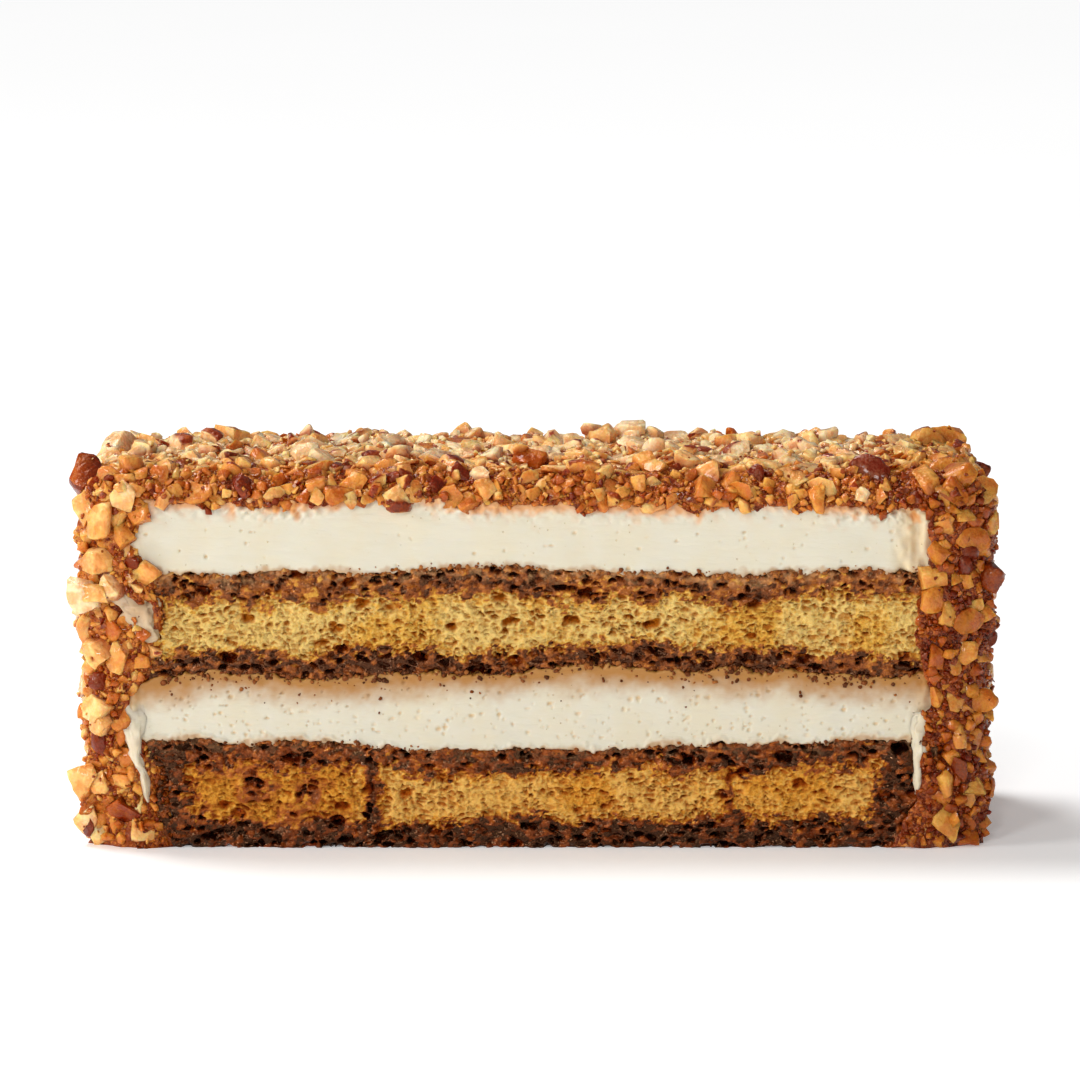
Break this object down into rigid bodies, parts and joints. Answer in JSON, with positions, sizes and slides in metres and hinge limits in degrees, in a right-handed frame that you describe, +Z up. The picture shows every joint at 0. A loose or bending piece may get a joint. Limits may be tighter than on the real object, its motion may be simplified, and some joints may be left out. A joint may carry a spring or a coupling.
{
  "type": "almond tiramisu slice",
  "caption": "Slice of almond tiramisu cut from a bar: soaked sponge layers with mascarpone cream between and above, coated over the top and ends with chopped caramelised almonds.",
  "frame": {"origin": "middle of the base, on the surface that the slice stands on", "axes": "+Z up, +X along the cut face from its left end to its right end, -Y out of the cut face that is shown"},
  "size_m": [0.1214, 0.0382, 0.0511],
  "materials": {
    "sponge": "coffee-soaked sponge, open crumb",
    "cream": "soft mascarpone cream, knife-cut",
    "almond": "chopped caramelised almonds"
  },
  "bodies": {
    "root": {"sponge_lower": "sponge", "cream_lower": "cream", "sponge_upper": "sponge", "cream_upper": "cream", "almond_coat": "almond"}
  },
  "joints": []
}
